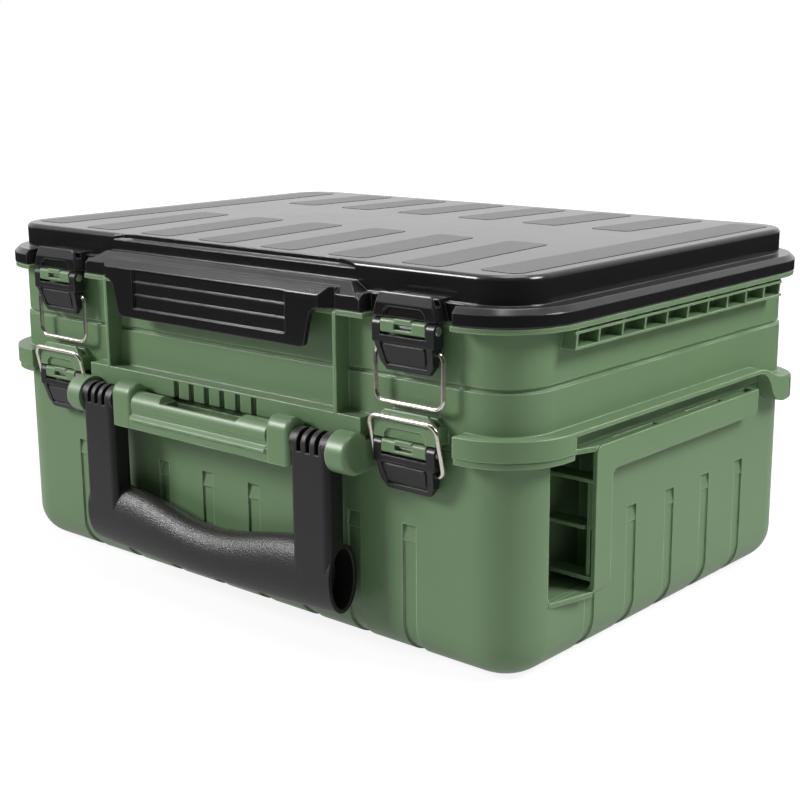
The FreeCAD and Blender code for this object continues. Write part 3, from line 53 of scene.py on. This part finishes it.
# %% Camera
eye = Vector((0.67367, -0.75716, 0.34391))
turn, tilt, roll = math.radians(41.233), math.radians(90.0 - 13.213), math.radians(-0.4365)
bpy.ops.object.camera_add()
camera = bpy.context.object
camera.name = "studio_camera"
camera.data.sensor_width = 36.0
camera.data.lens = 66.09
camera.data.clip_end = 50.0
camera.matrix_world = (Matrix.Translation(eye) @ Matrix.Rotation(turn, 4, "Z")
                       @ Matrix.Rotation(tilt, 4, "X") @ Matrix.Rotation(roll, 4, "Z"))
bpy.context.scene.camera = camera
print("camera at", tuple(round(v, 3) for v in eye))

# %% [markdown]
# ## Floor, backdrop and light
# The box stands in a white light tent. The floor sheds light as real paper does, but a
# camera ray meets it as plain white with only a faint shadow left, which is what a retouched
# catalogue page shows. Gloss sees paper that is pale round the box and dark further out, so the
# green near the ground gets a soft haze while the lid's black sides stay deep. Three materials
# could do this on three planes, but one floor with a Light Path switch keeps the shadow in the
# right place.

# %% The floor
SHADOW_KEPT = 0.3
SHADOW_NEAR, SHADOW_FAR = 0.27, 0.75
PAPER_WHITE, PAPER_GREY = 1.25, 0.58
FLOOR_GLOSS_PALE, FLOOR_GLOSS_DARK = 0.6, 0.02
GLOSS_NEAR, GLOSS_FAR = 0.4, 1.1

bpy.ops.mesh.primitive_plane_add(size=14.0, location=(0.0, 0.0, 0.0))
floor = bpy.context.object
floor.name = "studio_floor"
print("floor", tuple(round(v, 1) for v in floor.dimensions))


# %% Helpers for what each kind of ray sees
def smooth_range(tree, value, start, end, at_start, at_end):
    """A Map Range node that eases from one value to another: returns its result."""
    node = tree.nodes.new("ShaderNodeMapRange")
    node.interpolation_type = "SMOOTHSTEP"
    node.inputs["From Min"].default_value = start
    node.inputs["From Max"].default_value = end
    node.inputs["To Min"].default_value = at_start
    node.inputs["To Max"].default_value = at_end
    tree.links.new(value, node.inputs["Value"])
    return node.outputs["Result"]


def sort_rays(tree, plain, for_gloss, for_camera, surface):
    """Shows one shader to gloss, one to the camera and a plain one to all other rays."""
    path = tree.nodes.new("ShaderNodeLightPath")
    for ray, shader in (("Is Glossy Ray", for_gloss), ("Is Camera Ray", for_camera)):
        either = tree.nodes.new("ShaderNodeMixShader")
        tree.links.new(path.outputs[ray], either.inputs["Fac"])
        tree.links.new(plain.outputs[0], either.inputs[1])
        tree.links.new(shader.outputs[0], either.inputs[2])
        plain = either
    tree.links.new(plain.outputs[0], surface)


print("helpers: smooth_range, sort_rays")

# %% White paper that keeps a faint shadow
floor_paper = bpy.data.materials.new("white_paper")
floor_paper.use_nodes = True
tree = floor_paper.node_tree
lit_paper = tree.nodes["Principled BSDF"]
lit_paper.inputs["Base Color"].default_value = (PAPER_GREY, PAPER_GREY, PAPER_GREY, 1.0)
lit_paper.inputs["Roughness"].default_value = 0.9
lit_paper.inputs["Specular IOR Level"].default_value = 0.0
white = tree.nodes.new("ShaderNodeEmission")
white.inputs["Color"].default_value = (1.0, 1.0, 1.0, 1.0)
white.inputs["Strength"].default_value = PAPER_WHITE
place = tree.nodes.new("ShaderNodeNewGeometry")
distance = tree.nodes.new("ShaderNodeVectorMath")
distance.operation = "LENGTH"
tree.links.new(place.outputs["Position"], distance.inputs[0])
seen_paper = tree.nodes.new("ShaderNodeMixShader")
shadow_share = smooth_range(tree, distance.outputs["Value"], SHADOW_NEAR, SHADOW_FAR, SHADOW_KEPT, 0.0)
tree.links.new(shadow_share, seen_paper.inputs["Fac"])
tree.links.new(white.outputs[0], seen_paper.inputs[1])
tree.links.new(lit_paper.outputs[0], seen_paper.inputs[2])
print("paper", floor_paper.name, "keeps", SHADOW_KEPT, "of the shadow")

# %% The floor as gloss sees it
mirrored = tree.nodes.new("ShaderNodeEmission")
paleness = smooth_range(tree, distance.outputs["Value"], GLOSS_NEAR, GLOSS_FAR,
                        FLOOR_GLOSS_PALE, FLOOR_GLOSS_DARK)
tree.links.new(paleness, mirrored.inputs["Strength"])
sort_rays(tree, lit_paper, mirrored, seen_paper, tree.nodes["Material Output"].inputs["Surface"])
floor.data.materials.append(floor_paper)
print("floor nodes", len(tree.nodes))

# %% [markdown]
# ## The sky
# The tent's cloth is white all round for the camera. For gloss it is white behind the box and to
# its left, and dim on the side that the camera stands on. What it sheds on the box is an even,
# low fill. A ring of lamps could light the gloss as well, but a brightness that follows the
# direction leaves no hard lamp shapes on the lid.

# %% Sky
SKY_FILL = 0.19
SKY_GLOSS_DIM, SKY_GLOSS_WHITE = 0.05, 1.15
WHITE_SIDE = (-0.75, 0.6, 0.3)
TENT_DIM_AT, TENT_WHITE_AT = -0.35, 0.75
sky = bpy.data.worlds.new("white_tent")
bpy.context.scene.world = sky
sky.use_nodes = True
tree = sky.node_tree
fill = tree.nodes["Background"]
fill.inputs["Color"].default_value = (1.0, 1.0, 1.0, 1.0)
fill.inputs["Strength"].default_value = SKY_FILL
way = tree.nodes.new("ShaderNodeTexCoord")
toward = tree.nodes.new("ShaderNodeVectorMath")
toward.operation = "DOT_PRODUCT"
toward.inputs[1].default_value = WHITE_SIDE
tree.links.new(way.outputs["Generated"], toward.inputs[0])
gloss_sky = tree.nodes.new("ShaderNodeBackground")
brightness = smooth_range(tree, toward.outputs["Value"], TENT_DIM_AT, TENT_WHITE_AT,
                          SKY_GLOSS_DIM, SKY_GLOSS_WHITE)
tree.links.new(brightness, gloss_sky.inputs["Strength"])
white_sky = tree.nodes.new("ShaderNodeBackground")
white_sky.inputs["Color"].default_value = (1.0, 1.0, 1.0, 1.0)
sort_rays(tree, fill, gloss_sky, white_sky, tree.nodes["World Output"].inputs["Surface"])
bpy.context.scene.view_settings.view_transform = "Standard"
print("sky", sky.name, "fill", SKY_FILL)

# %% [markdown]
# ## Lamps
# Three soft boxes model the box: one from the right and one from the left front give each side
# its own tone, and a weak one above brings out the tops of the steps.

# %% Three soft boxes
BOX_MIDDLE = (0.0, 0.0, 0.1)


def soft_lamp(name, place, size, power):
    """A square soft lamp at a place, facing the middle of the box."""
    bpy.ops.object.light_add(type="AREA", location=place)
    lamp = bpy.context.object
    lamp.name = name
    lamp.data.size = size
    lamp.data.energy = power
    aim = Vector(BOX_MIDDLE) - Vector(place)
    lamp.rotation_euler = aim.to_track_quat("-Z", "Y").to_euler()
    return lamp


soft_lamp("right_softbox", (1.75, 0.7, 1.75), size=0.9, power=58.0)
soft_lamp("left_softbox", (-1.6, -1.8, 1.4), size=0.8, power=63.0)
soft_lamp("top_softbox", (0.1, 0.2, 2.3), size=1.2, power=26.0)


# %% [markdown]
# ## Shared finish groups
# Moulded plastic shows four things whatever its colour: edges that are softly rounded and paler,
# partly from wear and partly as a painted highlight, a fine spark-eroded grain, slow changes of
# gloss from handling, and dust on what faces up.
# Each is a node group, built once and used by every material with its own numbers.

# %% A helper that starts a group
def new_group(name, numbers, colours, results):
    """A shader group with float inputs {name: default}, colour inputs and outputs {name: type}."""
    group = bpy.data.node_groups.new(name, "ShaderNodeTree")
    for label, value in numbers.items():
        socket = group.interface.new_socket(label, in_out="INPUT", socket_type="NodeSocketFloat")
        socket.default_value = value
    for label, value in colours.items():
        socket = group.interface.new_socket(label, in_out="INPUT", socket_type="NodeSocketColor")
        socket.default_value = value
    for label, kind in results.items():
        group.interface.new_socket(label, in_out="OUTPUT", socket_type=kind)
    inside = group.nodes.new("NodeGroupInput")
    outside = group.nodes.new("NodeGroupOutput")
    return group, inside, outside


print("helper: new_group")


# %% Two short helpers for nodes
def maths(tree, operation, first, second=0.0, clamp=False):
    """A Math node: each side is a number or another node's output."""
    node = tree.nodes.new("ShaderNodeMath")
    node.operation = operation
    node.use_clamp = clamp
    for socket, value in zip(node.inputs, (first, second)):
        if isinstance(value, (int, float)):
            socket.default_value = value
        else:
            tree.links.new(value, socket)
    return node.outputs[0]


def noise(tree, scale, detail=3.0, roughness=0.5):
    """A Noise texture on object coordinates: returns its factor."""
    node = tree.nodes.new("ShaderNodeTexNoise")
    node.inputs["Detail"].default_value = detail
    node.inputs["Roughness"].default_value = roughness
    if isinstance(scale, (int, float)):
        node.inputs["Scale"].default_value = scale
    else:
        tree.links.new(scale, node.inputs["Scale"])
    place = tree.nodes.new("ShaderNodeTexCoord")
    tree.links.new(place.outputs["Object"], node.inputs["Vector"])
    return node.outputs["Fac"]


print("helpers: maths, noise")

# %% [markdown]
# ### Edges
# A mould leaves every corner slightly round, and use rubs that corner paler. The paler edge is also
# a painted highlight, standing in for the light that the rounded edges catch. Bevelling the solids
# would change them, so a Bevel node rounds only the normal. Where the rounded normal leaves the
# true one there is an edge, and a slow noise keeps the paler edge to patches.

# %% Worn edges with a painted highlight
BEND_GAIN = 9.0
PATCH_CUTOFF, PATCH_GAIN = 0.28, 2.6
edge_group, edge_in, edge_out = new_group(
    "worn_and_highlit_edges", {"Radius": 0.0008, "Strength": 1.0, "Patch Scale": 30.0}, {},
    {"Normal": "NodeSocketVector", "Edge": "NodeSocketFloat"})
rounding = edge_group.nodes.new("ShaderNodeBevel")
rounding.samples = 6
edge_group.links.new(edge_in.outputs["Radius"], rounding.inputs["Radius"])
surface = edge_group.nodes.new("ShaderNodeNewGeometry")
compare = edge_group.nodes.new("ShaderNodeVectorMath")
compare.operation = "DOT_PRODUCT"
edge_group.links.new(rounding.outputs["Normal"], compare.inputs[0])
edge_group.links.new(surface.outputs["Normal"], compare.inputs[1])
bend = maths(edge_group, "SUBTRACT", 1.0, compare.outputs["Value"], clamp=True)
bend = maths(edge_group, "MULTIPLY", bend, BEND_GAIN, clamp=True)
patches = noise(edge_group, edge_in.outputs["Patch Scale"], detail=4.0)
patches = maths(edge_group, "SUBTRACT", patches, PATCH_CUTOFF, clamp=True)
patches = maths(edge_group, "MULTIPLY", patches, PATCH_GAIN, clamp=True)
# The edge mask: partly wear, partly a painted highlight on the rounded edges.
worn_and_highlit = maths(edge_group, "MULTIPLY", bend, patches)
worn_and_highlit = maths(edge_group, "MULTIPLY", worn_and_highlit, edge_in.outputs["Strength"], clamp=True)
edge_group.links.new(rounding.outputs["Normal"], edge_out.inputs["Normal"])
edge_group.links.new(worn_and_highlit, edge_out.inputs["Edge"])
print("group", edge_group.name)

# %% [markdown]
# ### Fine grain
# A spark-eroded mould prints a fine, even grain on the plastic. An image could carry it, but noise
# on object coordinates needs no image and never stretches. A broader, weaker noise is added, so
# that the grain isn't the same everywhere.

# %% Moulded grain
BROAD_SHARE = 0.12
grain_group, grain_in, grain_out = new_group(
    "moulded_grain", {"Scale": 900.0, "Coarse": 0.3}, {}, {"Height": "NodeSocketFloat"})
fine = noise(grain_group, grain_in.outputs["Scale"], detail=2.0)
broad_scale = maths(grain_group, "MULTIPLY", grain_in.outputs["Scale"], BROAD_SHARE)
broad = noise(grain_group, broad_scale, detail=2.0)
broad = maths(grain_group, "MULTIPLY", broad, grain_in.outputs["Coarse"])
grain_group.links.new(maths(grain_group, "ADD", fine, broad), grain_out.inputs["Height"])
print("group", grain_group.name)

# %% [markdown]
# ### Pebbled grain
# The carrying handle has a coarser grain, like leather. Voronoi cells measured to their edges give
# pebbles with narrow creases between them, which plain noise can't.

# %% Leather-like grain
PEBBLE_CROWN, WANDER_SHARE = 3.0, 0.15
leather_group, leather_in, leather_out = new_group(
    "leather_grain", {"Scale": 560.0, "Coarse": 0.3}, {}, {"Height": "NodeSocketFloat"})
pebbles = leather_group.nodes.new("ShaderNodeTexVoronoi")
pebbles.feature = "DISTANCE_TO_EDGE"
place = leather_group.nodes.new("ShaderNodeTexCoord")
leather_group.links.new(place.outputs["Object"], pebbles.inputs["Vector"])
leather_group.links.new(leather_in.outputs["Scale"], pebbles.inputs["Scale"])
crown = maths(leather_group, "MULTIPLY", pebbles.outputs["Distance"], PEBBLE_CROWN,
              clamp=True)
wander_scale = maths(leather_group, "MULTIPLY", leather_in.outputs["Scale"], WANDER_SHARE)
wander = maths(leather_group, "MULTIPLY", noise(leather_group, wander_scale), leather_in.outputs["Coarse"])
leather_group.links.new(maths(leather_group, "ADD", crown, wander), leather_out.inputs["Height"])
print("group", leather_group.name)

# %% [markdown]
# ### Marks of use
# Hands leave some places duller than others. The marks move the roughness a little round a middle
# value, and the same pattern clouds the colour, so gloss and tone change together.

# %% Handling marks
STREAK_SHARE = 0.3
marks_group, marks_in, marks_out = new_group(
    "handling_marks", {"Gloss": 0.4, "Spread": 0.1}, {}, {"Roughness": "NodeSocketFloat",
                                                         "Smudge": "NodeSocketFloat"})
slow = noise(marks_group, 9.0, detail=5.0, roughness=0.6)
streaks = noise(marks_group, 65.0, detail=3.0, roughness=0.65)
smudge = maths(marks_group, "ADD", maths(marks_group, "MULTIPLY", slow, 1.0 - STREAK_SHARE),
               maths(marks_group, "MULTIPLY", streaks, STREAK_SHARE))
swing = maths(marks_group, "MULTIPLY", maths(marks_group, "SUBTRACT", smudge, 0.5),
              marks_in.outputs["Spread"])
marks_group.links.new(maths(marks_group, "ADD", marks_in.outputs["Gloss"], swing, clamp=True),
                      marks_out.inputs["Roughness"])
marks_group.links.new(smudge, marks_out.inputs["Smudge"])
print("group", marks_group.name)

# %% [markdown]
# ### Dust
# Dust settles on what faces up. Particles would be slow and loose, so the upward part of the
# normal, times a noise, mixes in a dust colour.

# %% Settled dust
dust_group, dust_in, dust_out = new_group(
    "settled_dust", {"Amount": 0.1}, {"Surface": (0.5, 0.5, 0.5, 1.0), "Dust": (0.5, 0.48, 0.44, 1.0)},
    {"Color": "NodeSocketColor"})
facing = dust_group.nodes.new("ShaderNodeNewGeometry")
parts = dust_group.nodes.new("ShaderNodeSeparateXYZ")
dust_group.links.new(facing.outputs["Normal"], parts.inputs[0])
upward = maths(dust_group, "MULTIPLY", parts.outputs["Z"], 1.0, clamp=True)
motes = noise(dust_group, 38.0, detail=6.0, roughness=0.7)
lying = maths(dust_group, "MULTIPLY", maths(dust_group, "MULTIPLY", upward, motes),
              dust_in.outputs["Amount"], clamp=True)
cover = dust_group.nodes.new("ShaderNodeMix")
cover.data_type = "RGBA"
dust_group.links.new(lying, cover.inputs["Factor"])
dust_group.links.new(dust_in.outputs["Surface"], cover.inputs["A"])
dust_group.links.new(dust_in.outputs["Dust"], cover.inputs["B"])
dust_group.links.new(cover.outputs["Result"], dust_out.inputs["Color"])
print("groups", [g.name for g in bpy.data.node_groups])

# %% [markdown]
# ## Plastics
# The tub and tray are a satin green polypropylene. The lid is a glossier black, and the levers
# and handle are a satin black. All come from one recipe: colour with a faint cloudiness, edges a
# little paler from wear and from a painted highlight, dust on top, gloss from the handling marks,
# and grain in the bump.

# %% Colours and mixing
def linear(red, green, blue):
    """A screen colour, 0 to 255, as the linear values that a shader takes."""
    return tuple((v / 255.0 / 12.92) if v <= 10 else ((v / 255.0 + 0.055) / 1.055) ** 2.4
                 for v in (red, green, blue)) + (1.0,)


def use(tree, group, **values):
    """Places a finish group in a material and sets its inputs."""
    node = tree.nodes.new("ShaderNodeGroup")
    node.node_tree = group
    for label, value in values.items():
        node.inputs[label.replace("_", " ")].default_value = value
    return node


def blend_colours(tree, factor, first, second):
    """A colour Mix node between two colours, each a value or an output."""
    node = tree.nodes.new("ShaderNodeMix")
    node.data_type = "RGBA"
    tree.links.new(factor, node.inputs["Factor"])
    for label, value in (("A", first), ("B", second)):
        if isinstance(value, tuple):
            node.inputs[label].default_value = value
        else:
            tree.links.new(value, node.inputs[label])
    return node.outputs["Result"]


print("mid grey as a shader takes it", round(linear(128, 128, 128)[0], 3))

# %% The plastic recipe
CLOUD_SHARES = (0.9, 1.08)


def plastic(name, colour, edge_colour_worn_and_highlit, gloss, spread=0.12, grain=900.0, depth=0.00003, coarse=0.3,
            radius=0.0008, dust=0.06, edge_wear_and_highlight=0.8, relief_group=None):
    """A moulded plastic: returns the material."""
    material = bpy.data.materials.new(name)
    material.use_nodes = True
    tree = material.node_tree
    shader = tree.nodes["Principled BSDF"]
    edges = use(tree, edge_group, Radius=radius, Strength=edge_wear_and_highlight)
    marks = use(tree, marks_group, Gloss=gloss, Spread=spread)
    relief = use(tree, relief_group or grain_group, Scale=grain, Coarse=coarse)
    darker, paler = (tuple(v * share for v in colour[:3]) + (1.0,) for share in CLOUD_SHARES)
    cloudy = blend_colours(tree, marks.outputs["Smudge"], darker, paler)
    # Edges take the paler colour: partly wear, partly a painted highlight.
    edged = blend_colours(tree, edges.outputs["Edge"], cloudy, edge_colour_worn_and_highlit)
    dusty = use(tree, dust_group, Amount=dust)
    tree.links.new(edged, dusty.inputs["Surface"])
    bump = tree.nodes.new("ShaderNodeBump")
    bump.inputs["Distance"].default_value = depth
    bump.inputs["Strength"].default_value = 1.0
    tree.links.new(relief.outputs["Height"], bump.inputs["Height"])
    tree.links.new(edges.outputs["Normal"], bump.inputs["Normal"])
    tree.links.new(dusty.outputs["Color"], shader.inputs["Base Color"])
    tree.links.new(marks.outputs["Roughness"], shader.inputs["Roughness"])
    tree.links.new(bump.outputs["Normal"], shader.inputs["Normal"])
    return material


# %% Green, black and grey plastics
# Each plastic's second colour is its paler edge colour, which is wear and a painted highlight together.
green_plastic = plastic("green_polypropylene", linear(100, 127, 91), linear(172, 196, 163), 0.36,
                        radius=0.0011, edge_wear_and_highlight=0.9)
lid_plastic = plastic("black_lid_plastic", linear(27, 26, 27), linear(96, 94, 95), 0.17, depth=0.000008,
                      radius=0.0011, edge_wear_and_highlight=0.9)
lever_plastic = plastic("black_lever_plastic", linear(27, 27, 28), linear(108, 108, 109), 0.34,
                        radius=0.0005, edge_wear_and_highlight=0.9)
pad_rubber = plastic("grip_pad_rubber", linear(33, 33, 34), linear(64, 64, 65), 0.30, grain=1400.0,
                     depth=0.00005, radius=0.0003)
divider_plastic = plastic("grey_divider_plastic", linear(150, 156, 148), linear(178, 182, 176), 0.35,
                          radius=0.0004)
handle_plastic = plastic("black_handle_plastic", linear(26, 25, 25), linear(96, 94, 93), 0.40, grain=620.0,
                         depth=0.00009, coarse=0.15, radius=0.001, relief_group=leather_group)
print("plastics", [m.name for m in bpy.data.materials])

# %% [markdown]
# ## Plated wire and pins
# The bails are nickel-plated spring wire: bright, with a faint grain and a warm tone where the
# plating is thin. The pins are plainer drawn steel.


# %% Metals
def metal(name, colour, tarnish, gloss):
    """A drawn metal: returns the material."""
    material = bpy.data.materials.new(name)
    material.use_nodes = True
    tree = material.node_tree
    shader = tree.nodes["Principled BSDF"]
    shader.inputs["Metallic"].default_value = 1.0
    marks = use(tree, marks_group, Gloss=gloss, Spread=0.2)
    relief = use(tree, grain_group, Scale=2400.0, Coarse=0.2)
    spots = noise(tree, 160.0, detail=5.0, roughness=0.7)
    dull = maths(tree, "MULTIPLY", maths(tree, "SUBTRACT", spots, 0.52, clamp=True), 4.0, clamp=True)
    tree.links.new(blend_colours(tree, dull, colour, tarnish), shader.inputs["Base Color"])
    tree.links.new(marks.outputs["Roughness"], shader.inputs["Roughness"])
    bump = tree.nodes.new("ShaderNodeBump")
    bump.inputs["Distance"].default_value = 0.000008
    tree.links.new(relief.outputs["Height"], bump.inputs["Height"])
    tree.links.new(bump.outputs["Normal"], shader.inputs["Normal"])
    return material


wire_nickel = metal("nickel_wire", (0.95, 0.90, 0.83, 1.0), (0.62, 0.55, 0.47, 1.0), 0.2)
pin_steel = metal("drawn_pin_steel", (0.6, 0.6, 0.6, 1.0), (0.42, 0.4, 0.38, 1.0), 0.32)

# %% [markdown]
# ## Which piece gets which finish
# Each CAD node keeps its shape and only has its material slots filled again.

# %% Dress the nodes
finishes = {"base_box": green_plastic, "side_rack_left": green_plastic, "side_rack_right": green_plastic,
            "tray_box": green_plastic, "handle_bracket": green_plastic,
            "lid_shell": lid_plastic, "lid_pads": pad_rubber, "handle": handle_plastic,
            "long_divider": divider_plastic}
for name, node in nodes.items():
    if "bail" in name:
        finish = wire_nickel
    elif "pin" in name:
        finish = pin_steel
    elif "lever" in name:
        finish = lever_plastic
    elif "cross_divider" in name:
        finish = divider_plastic
    else:
        finish = finishes[name]
    node.data.materials.clear()
    node.data.materials.append(finish)
print("dressed", len(nodes), "nodes")

# %% [markdown]
# ## Pin heads
# The steel pins of the latches and hinges are held by a small domed head at each end. A head could
# be a squashed ball, but a turned head has a flat rim and a low crown, so a short cylinder is
# inset and raised twice in edit mode and its rim is bevelled. It is modelled once for each size,
# and every copy gets its own mesh.


# %% One head of each size
def select_end(piece):
    """Selects the end face that points along +X, leaving the piece in edit mode."""
    bpy.ops.object.mode_set(mode="EDIT")
    bpy.ops.mesh.select_mode(type="FACE")
    bpy.ops.mesh.select_all(action="DESELECT")
    bpy.ops.object.mode_set(mode="OBJECT")
    for face in piece.data.polygons:
        face.select = face.normal.x > 0.99
    bpy.ops.object.mode_set(mode="EDIT")


def domed_head(name, radius, proud):
    """A round pin head along X: flat side at the origin, crown at x = proud."""
    bpy.ops.object.select_all(action="DESELECT")
    rim = proud * 0.45
    bpy.ops.mesh.primitive_cylinder_add(vertices=32, radius=radius, depth=rim,
                                        location=(rim / 2, 0.0, 0.0), rotation=(0.0, math.pi / 2, 0.0))
    piece = bpy.context.object
    piece.name = name
    bpy.ops.object.transform_apply(location=True, rotation=True, scale=True)
    select_end(piece)
    for share, lift in ((0.22, 0.3), (0.26, 0.18), (0.24, 0.07)):
        bpy.ops.mesh.inset(thickness=radius * share)
        bpy.ops.transform.translate(value=(proud * lift, 0.0, 0.0))
    bpy.ops.object.mode_set(mode="OBJECT")
    turned = piece.modifiers.new("turned_rim", "BEVEL")
    turned.width = proud * 0.12
    turned.segments = 2
    turned.limit_method = "ANGLE"
    bpy.ops.object.modifier_apply(modifier=turned.name)
    bpy.ops.object.shade_smooth_by_angle(angle=math.radians(35.0))
    piece.data.materials.append(pin_steel)
    return piece


latch_head = domed_head("latch_head", 0.0026, 0.0006)
hinge_head = domed_head("hinge_head", 0.0031, 0.0011)
print("head faces", len(latch_head.data.polygons), len(hinge_head.data.polygons))


# %% Heads on the pins' ends
def place_head(pattern, pin, end, body):
    """A copy of a head on one end of a CAD pin: end is 1 for its +X end and -1 for the other."""
    low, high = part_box(pin)
    copy = pattern.copy()
    copy.data = pattern.data.copy()
    copy.name = pin + ("_head_plus" if end > 0 else "_head_minus")
    bpy.context.scene.collection.objects.link(copy)
    bpy.ops.object.select_all(action="DESELECT")
    copy.select_set(True)
    bpy.context.view_layer.objects.active = copy
    copy.location = (high[0] if end > 0 else low[0], (low[1] + high[1]) / 2, (low[2] + high[2]) / 2)
    copy.rotation_euler = (0.0, 0.0, 0.0 if end > 0 else math.pi)
    bpy.ops.object.transform_apply(location=True, rotation=True, scale=True)
    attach(copy, body)


pin_kinds = (("lower_latch_pin_", "base", latch_head), ("upper_latch_pin_", "tray", latch_head),
             ("tray_hinge_pin_", "base", hinge_head), ("lid_hinge_pin_", "tray", hinge_head))
for kind, body, pattern in pin_kinds:
    for side in ("left", "right"):
        for end in (-1, 1):
            place_head(pattern, kind + side, end, body)
bpy.data.objects.remove(latch_head)
bpy.data.objects.remove(hinge_head)
